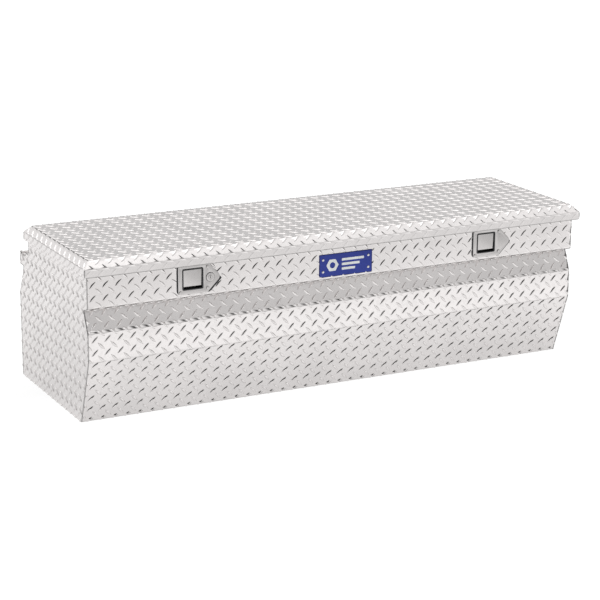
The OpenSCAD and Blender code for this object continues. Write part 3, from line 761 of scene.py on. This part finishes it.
def lid_welds_and_shade_beads():
    """The weld beads at the lid's corners, and dark beads along its end folds and its front edge: painted
    shade in the folds and a painted shadow under the front skirt's edge.
    """
    for side, word in ((-1, "left"), (1, "right")):
        for part, y_out, y_in in (("front", -278.5, -259.9), ("rear", 195.5, 176.9)):
            dy = 1 if y_out < 0 else -1
            low = (side * 769.2, y_out + 0.8 * dy, 420.6)
            knee = (side * 769.2, y_out + 0.8 * dy, 441.6)
            crown = (side * 751.2, y_in + 0.2 * dy, 460.0)
            bead(f"lid_{word}_{part}_weld", [low, knee], 1.9, 11 + side + dy, "lid", WELD)
            bead(f"lid_{word}_{part}_seam", [knee, crown], 1.1, 15 + side + dy, "lid", TREAD)
        # Thin dark beads along the lid's top and side folds: painted shade in the folds, not welds
        for part, a, z, radius, mat in (("top", 751.6, 460.5, 1.2, FOLD_SHADE), ("side", 769.6, 441.9, 0.8, WELD)):
            line = [(side * a, -259.0, z), (side * a, 176.0, z)]
            bead(f"lid_{word}_{part}_fold", line, radius, 25 + side, "lid", mat, step=5.0)
    # A dark bead along the front skirt's lower edge: a painted shadow line under the skirt
    skirt_shade_line = [(x, -279.4, 420.2) for x in (-LID_HALF + 1, LID_HALF - 1)]
    bead("lid_front_skirt_shade", skirt_shade_line, 1.0, 21, "lid", WELD, step=8.0)


def lid():
    skin = join([lid_sheet(), lid_flap(-1), lid_flap(1)], "lid_skin_tread")
    dress(skin, TREAD, "lid", "tread_plate", "lid_skin")
    lid_welds_and_shade_beads()


front_panel()
rear_panel()
end_panel(-1)
end_panel(1)
corner_welds()
lid()


# ---------------------------------------------------------------- pieces from the CAD shapes
def plate(name, loops, y0, y1, mat, bevel, slot, *nodes):
    """A flat piece with an outline and holes in [x, z], from y0 (front) back to y1."""
    drawing = Drawing()
    for loop in loops:
        drawing.line(loop, True)
    flat, faces = drawing.triangles()
    faces = faces[inside(loops, flat[faces].mean(axis=1))]
    count = len(flat)
    verts = [Vector((x, y, z)) * MM for y in (y0, y1) for x, z in flat]
    sides = [(a, b, count + b, count + a) for a, b in border_edges(faces).tolist()]
    obj = new_object(name, verts, faces.tolist() + (faces[:, ::-1] + count).tolist() + sides)
    outward(obj)
    modifier = obj.modifiers.new("soft edges", "BEVEL")
    modifier.width = bevel * MM
    modifier.segments = 2
    modifier.limit_method = "ANGLE"
    modifier.angle_limit = math.radians(40)
    modifier.harden_normals = True
    return dress(obj, mat, "box", slot, *nodes)


def refined(node, mat, body, slot, bevel, segments=2, angle=28):
    """A copy of a CAD node with its flats made whole and its edges softened."""
    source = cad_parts[node]
    bm = bmesh.new()
    bm.from_mesh(source.data)
    bmesh.ops.remove_doubles(bm, verts=bm.verts[:], dist=1e-6)
    bmesh.ops.dissolve_limit(
        bm, angle_limit=math.radians(1.0), verts=bm.verts[:], edges=bm.edges[:], use_dissolve_boundaries=False
    )
    bmesh.ops.recalc_face_normals(bm, faces=bm.faces[:])
    mesh = bpy.data.meshes.new(f"{node}_fine")
    bm.to_mesh(mesh)
    bm.free()
    mesh.shade_smooth()
    obj = bpy.data.objects.new(f"{node}_fine", mesh)
    bpy.context.scene.collection.objects.link(obj)
    obj.matrix_world = source.matrix_world
    modifier = obj.modifiers.new("soft edges", "BEVEL")
    modifier.width = bevel * MM
    modifier.segments = segments
    modifier.limit_method = "ANGLE"
    modifier.angle_limit = math.radians(angle)
    modifier.harden_normals = True
    modifier.miter_outer = "MITER_ARC"
    return dress(obj, mat, body, slot, node)


def tube(name, points, radius, mat, body, slot, *nodes):
    """A round wire along a line of points."""
    curve = bpy.data.curves.new(name, "CURVE")
    curve.dimensions = "3D"
    curve.bevel_depth = radius * MM
    curve.bevel_resolution = 2
    curve.use_fill_caps = True
    spline = curve.splines.new("POLY")
    spline.points.add(len(points) - 1)
    for point, place in zip(spline.points, points):
        point.co = (*(Vector(place) * MM), 1.0)
    shell = bpy.data.objects.new(name, curve)
    bpy.context.scene.collection.objects.link(shell)
    mesh = bpy.data.meshes.new_from_object(shell.evaluated_get(bpy.context.evaluated_depsgraph_get()))
    bpy.data.objects.remove(shell)
    mesh.name = name
    mesh.shade_smooth()
    obj = bpy.data.objects.new(name, mesh)
    bpy.context.scene.collection.objects.link(obj)
    return dress(obj, mat, body, slot, *nodes)


def painted_dish_shade(bezel, x):
    """Gives the walls and floor of the dish a black nylon material: painted shade for the shaded inside of
    the steel dish.
    """
    bezel.data.materials.append(NYLON)
    wide, high, deep = DISH[0] / 2 - 1.9, DISH[1] / 2 - 1.9, 18.1
    for face in bezel.data.polygons:
        spot = face.center / MM
        within = abs(spot.x - x) < wide and abs(spot.z - LATCH_Z) < high
        if within and BEZEL_Y + 0.6 < spot.y < BEZEL_Y + deep:
            face.material_index = 1


def latch_seal(word, x):
    """The rubber seal behind the plate, which shows at its left edge and, on the left latch, along its lower
    slope as a painted shadow of the plate.
    """
    loops = [seal_outline(x), rounded_loop(DISH[0], DISH[1], 5.0, (x, LATCH_Z))]
    if word == "left":
        loops.append(circle(LOCK_R, (x + LOCK_U, LATCH_Z)))
    plate(f"{word}_seal", loops, BEZEL_Y + 0.9, FACE_Y, RUBBER, 0.2, "rubber", f"{word}_latch_gasket")


def paddle_spring(word, x):
    """The spring round the paddle's pin: four and a half turns and two legs."""
    per_turn, turns, radius, length = 16, 4.5, 2.15, 8.0
    steps = int(turns * per_turn)
    start = Vector((x - 12.0, -254.0, LATCH_Z + 23.5))
    coils = []
    for i in range(steps + 1):
        angle = 2 * math.pi * i / per_turn - math.pi / 2
        coils.append(start + Vector((length * i / steps, radius * math.cos(angle), radius * math.sin(angle))))
    legs = [coils[0] + Vector((0, -0.1, -13.0)), *coils, coils[-1] + Vector((0, 0, -12.0))]
    tube(f"{word}_paddle_coil", legs, 0.42, SPRING, "box", "spring_steel", f"{word}_paddle_spring")


def hook_spring(word, x):
    """The spring round the hook's pivot: four turns and one leg."""
    per_turn, turns, radius, length = 20, 4, 8.1, 4.2
    steps = turns * per_turn
    start = Vector((x, -234.4, LATCH_Z + 7.5))
    coils = []
    for i in range(steps + 1):
        angle = math.pi - 2 * math.pi * i / per_turn
        coils.append(start + Vector((radius * math.cos(angle), length * i / steps, radius * math.sin(angle))))
    legs = [coils[0] + Vector((0, 0, -15.5)), *coils]
    tube(f"{word}_hook_coil", legs, 0.5, SPRING, "box", "spring_steel", f"{word}_hook_spring")


def latch(word):
    """Every piece of one paddle latch."""
    x = LATCHES[word]
    bezel = refined(f"{word}_latch_bezel", STAINLESS, "box", "polished_steel", 0.45, 3)
    painted_dish_shade(bezel, x)
    latch_seal(word, x)
    # The sill and the ring round the opening are black rubber strips painted as the shaded gap round the
    # paddle. The sill is open at the top, where the paddle's upper edge swings up and in
    sill = [(x + a, LATCH_Z + z) for a, z in (
        (-29.5, 20.0), (-29.5, -28.5), (29.5, -28.5), (29.5, 20.0),
        (27.2, 20.0), (27.2, -27.0), (-27.2, -27.0), (-27.2, 20.0),
    )]
    rim = rounded_loop(DISH[0] - 1.6, DISH[1] - 1.6, 4.5, (x, LATCH_Z))
    lip = rounded_loop(DISH[0] - 8.6, DISH[1] - 8.8, 2.0, (x, LATCH_Z - 0.9))
    plate(f"{word}_dish_shade_ring", [rim, lip], BEZEL_Y - 0.6, BEZEL_Y + 0.1, RUBBER, 0.25, "rubber")
    plate(f"{word}_dish_shade_sill", [softened(sill, 1.5)], BEZEL_Y, BEZEL_Y + 1.9, RUBBER, 0.2, "rubber")
    refined(f"{word}_paddle", STAINLESS, f"{word}_handle", "polished_steel", 0.4, 3)
    refined(f"{word}_latch_backplate", ZINC, "box", "zinc_steel", 0.3)
    refined(f"{word}_latch_hook", ZINC, f"{word}_hook", "zinc_steel", 0.35)
    refined(f"{word}_striker", ZINC, "lid", "zinc_steel", 0.35)
    refined(f"{word}_latch_screws", STAINLESS, "box", "zinc_steel", 0.3, 3)
    refined(f"{word}_paddle_pin", ZINC, "box", "zinc_steel", 0.2)
    refined(f"{word}_hook_pivot", ZINC, "box", "zinc_steel", 0.3)
    paddle_spring(word, x)
    hook_spring(word, x)


def lock():
    refined("lock_barrel", STAINLESS, "box", "polished_steel", 0.4, 3)
    centre = (LATCHES["left"] + LOCK_U, LATCH_Z)
    # A black ring round the lock, painted as the dark reflection on the lock's rim
    ring = [circle(13.0, centre), circle(LOCK_R, centre)]
    plate("lock_shade_ring", ring, BEZEL_Y - 0.7, BEZEL_Y, RUBBER, 0.2, "rubber")
    refined("lock_plug", STAINLESS, "lock", "polished_steel", 0.25)
    refined("lock_nut", ZINC, "box", "zinc_steel", 0.3)
    refined("lock_cam", ZINC, "lock", "zinc_steel", 0.3)


def struts():
    for word in ("left", "right"):
        refined(f"{word}_strut_tube", BLACK, f"{word}_strut_cylinder", "black_paint", 0.5)
        refined(f"{word}_strut_guide", NYLON, f"{word}_strut_cylinder", "black_nylon", 0.4)
        refined(f"{word}_strut_rod", CHROME, f"{word}_strut_piston", "chrome_rod", 0.3)
        refined(f"{word}_strut_upper_socket", NYLON, f"{word}_strut_piston", "black_nylon", 0.4)
        refined(f"{word}_strut_upper_stud", ZINC, f"{word}_strut_piston", "zinc_steel", 0.3)
        refined(f"{word}_strut_lower_bracket", ZINC, "box", "zinc_steel", 0.35)
        refined(f"{word}_strut_upper_bracket", ZINC, "lid", "zinc_steel", 0.35)
    refined("lid_bracket_rivets", MILL, "lid", "mill_aluminium", 0.3)


def hinge():
    refined("hinge_body_leaf", MILL, "box", "mill_aluminium", 0.2)
    refined("hinge_lid_leaf", MILL, "lid", "mill_aluminium", 0.2)
    refined("hinge_pin", STAINLESS, "box", "polished_steel", 0.3)
    refined("hinge_body_rivets", MILL, "box", "mill_aluminium", 0.4, 3)
    refined("hinge_lid_rivets", MILL, "lid", "mill_aluminium", 0.4, 3)


def panels_inside():
    refined("floor_panel", TREAD, "box", "tread_plate", 0.3)
    refined("lid_liner", MILL, "lid", "mill_aluminium", 0.25)
    refined("lid_foam_core", FOAM, "lid", "foam", 0.6)
    refined("rim_gasket", RUBBER, "box", "rubber", 0.2, 1, 40)
    refined("striker_screws", ZINC, "lid", "zinc_steel", 0.3, 3)


# ---------------------------------------------------------------- name plate
def name_plate():
    """Blue enamelled plate with a hexagon nut and three bars in relief."""
    low, high = (Vector(p) * 1000 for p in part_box("name_plate"))
    mid = ((low.x + high.x) / 2, (low.z + high.z) / 2)
    w, h, front, back = high.x - low.x, high.z - low.z, low.y, high.y
    whole = rounded_loop(w, h, 2.5, mid)
    plate("name_plate_back", [whole], front + 0.3, back, BLUE_EDGE, 0.2, "blue_enamel", "name_plate")
    field = rounded_loop(w - 4, h - 4, 1.5, mid)
    plate("name_plate_field", [field], front, front + 0.5, BLUE, 0.12, "blue_enamel")
    centre = (mid[0] - 42, mid[1])
    nut = softened(circle(19.0, centre, 6), 2.0)
    plate("name_plate_nut", [nut, circle(8.5, centre)], front - 0.35, front + 0.1, WHITE, 0.12, "blue_enamel")
    for k in range(3):
        bar = rounded_loop(70 - 14 * k, 7, 2, (mid[0] + 22 - 7 * k, mid[1] + 13 - 13 * k))
        plate(f"name_plate_bar_{k + 1}", [bar], front - 0.35, front + 0.1, WHITE, 0.12, "blue_enamel")
    refined("name_plate_rivets", MILL, "box", "mill_aluminium", 0.4, 3)


latch("left")
latch("right")
lock()
struts()
hinge()
panels_inside()
name_plate()


# ---------------------------------------------------------------- light, floor and camera
def camera():
    """The viewpoint, turned from straight ahead by azimuth, elevation and roll."""
    azimuth, elevation, roll = (math.radians(v) for v in (-27.079, 15.581, 0.257))
    back = Vector((
        math.sin(azimuth) * math.cos(elevation), -math.cos(azimuth) * math.cos(elevation), math.sin(elevation)
    ))
    right = Vector((math.cos(azimuth), math.sin(azimuth), 0))
    up = back.cross(right)
    tilted = right * math.cos(roll) + up * math.sin(roll)
    data = bpy.data.cameras.new("camera")
    data.lens = 114.345
    data.sensor_width = 36.0
    data.clip_end = 400.0
    obj = bpy.data.objects.new("camera", data)
    bpy.context.scene.collection.objects.link(obj)
    turn = Matrix((tilted, up * math.cos(roll) - right * math.sin(roll), back)).transposed()
    obj.matrix_world = Matrix.Translation((-2.43318, -4.75061, 1.68706)) @ turn.to_4x4()
    bpy.context.scene.camera = obj


# How bright the room is, by the height of the direction: 0 at the horizon, 1 straight up
ROOM_LIGHT = [(0.0, 0.72), (0.3, 0.76), (0.45, 0.9), (0.6, 1.35), (0.86, 1.27), (1.0, 2.4)]

# Soft patches in the room: a direction, the cosines at its edge and core, and the share of light in it
PATCHES = [
    ((-0.36, -0.81, 0.42), 0.7, 0.93, 0.35),
    ((-0.5, -0.82, 0.22), 0.8, 0.95, 0.08),
    ((-0.2, -0.4, 0.9), 0.9, 0.97, 0.12),
    ((-0.45, 0.75, 0.48), 0.8, 0.95, 1.45),
    ((0.99, -0.05, 0.03), 0.95, 0.985, 2.2),
]

# How brightly the floor shines at a distance y in metres behind the box's middle: painted light, a painted
# pool of light in front of the box and a painted shadow under and round it
FLOOR_LIGHT = [
    (-2.6, 0.9), (-1.7, 0.92), (-1.35, 1.05), (-0.95, 1.3), (-0.55, 1.2), (-0.36, 1.13),
    (-0.21, 0.95), (0.1, 0.87), (0.6, 0.95), (1.1, 1.05), (3.0, 1.0),
]
FLOOR_FULL = 1.5
FLOOR_HALF = 60.0


def add_node(tree, kind, **values):
    """Adds a shader node and sets its own values."""
    node = tree.nodes.new(kind)
    for key, value in values.items():
        setattr(node, key, value)
    return node


def fill_ramp(ramp, stops, full):
    """Sets a ramp's stops from pairs of place and brightness. White stands for full."""
    for position, _ in stops[1:-1]:
        ramp.elements.new(position)
    for element, (position, light) in zip(ramp.elements, stops):
        element.position = position
        element.color = (light / full,) * 3 + (1,)


def room():
    """A soft room that is brighter overhead and darker behind the viewer."""
    world = bpy.data.worlds.new("studio")
    bpy.context.scene.world = world
    world.use_nodes = True
    tree = world.node_tree
    tree.nodes.clear()
    link = tree.links.new
    brightest = ROOM_LIGHT[-1][1]
    toward = add_node(tree, "ShaderNodeTexCoord").outputs["Generated"]
    axes = add_node(tree, "ShaderNodeSeparateXYZ")
    link(toward, axes.inputs["Vector"])
    height = add_node(tree, "ShaderNodeValToRGB")
    fill_ramp(height.color_ramp, ROOM_LIGHT, brightest)
    link(axes.outputs["Z"], height.inputs["Fac"])
    strength = None
    for direction, edge, core, share in PATCHES:
        facing = add_node(tree, "ShaderNodeVectorMath", operation="DOT_PRODUCT")
        facing.inputs[1].default_value = Vector(direction).normalized()
        link(toward, facing.inputs[0])
        shade = add_node(tree, "ShaderNodeMapRange", interpolation_type="SMOOTHSTEP")
        for key, value in (("From Min", edge), ("From Max", core), ("To Min", 1.0), ("To Max", share)):
            shade.inputs[key].default_value = value
        link(facing.outputs["Value"], shade.inputs["Value"])
        product = add_node(tree, "ShaderNodeMath", operation="MULTIPLY")
        product.inputs[1].default_value = brightest
        link(shade.outputs["Result"], product.inputs[0])
        if strength:
            link(strength, product.inputs[1])
        strength = product.outputs["Value"]
    background = add_node(tree, "ShaderNodeBackground")
    link(height.outputs["Color"], background.inputs["Color"])
    link(strength, background.inputs["Strength"])
    out = add_node(tree, "ShaderNodeOutputWorld")
    link(background.outputs["Background"], out.inputs["Surface"])


def floor_material():
    """A pale floor that shines by itself, more brightly in some places than in others."""
    ground = bpy.data.materials.new("studio_floor")
    ground.use_nodes = True
    tree = ground.node_tree
    link = tree.links.new
    shader = tree.nodes["Principled BSDF"]
    shader.inputs["Base Color"].default_value = (0.12, 0.12, 0.12, 1)
    shader.inputs["Roughness"].default_value = 0.9
    shader.inputs["Emission Strength"].default_value = FLOOR_FULL
    axes = add_node(tree, "ShaderNodeSeparateXYZ")
    link(add_node(tree, "ShaderNodeTexCoord").outputs["Object"], axes.inputs["Vector"])
    near, far = FLOOR_LIGHT[0][0], FLOOR_LIGHT[-1][0]
    depth = add_node(tree, "ShaderNodeMapRange")
    depth.inputs["From Min"].default_value = near
    depth.inputs["From Max"].default_value = far
    link(axes.outputs["Y"], depth.inputs["Value"])
    glow = add_node(tree, "ShaderNodeValToRGB")
    stops = [((y - near) / (far - near), light) for y, light in FLOOR_LIGHT]
    fill_ramp(glow.color_ramp, stops, FLOOR_FULL)
    link(depth.outputs["Result"], glow.inputs["Fac"])
    link(glow.outputs["Color"], shader.inputs["Emission Color"])
    return ground


def studio():
    """The room, and a floor half a millimetre under the box's feet."""
    bpy.context.scene.view_settings.view_transform = "Standard"
    room()
    corners = [(x * FLOOR_HALF, y * FLOOR_HALF, 0) for x, y in ((-1, -1), (1, -1), (1, 1), (-1, 1))]
    mesh = bpy.data.meshes.new("studio_floor")
    mesh.from_pydata(corners, [], [(0, 1, 2, 3)])
    mesh.materials.append(floor_material())
    floor = bpy.data.objects.new("studio_floor", mesh)
    floor.location.z = -0.5 * MM
    bpy.context.scene.collection.objects.link(floor)


camera()
studio()
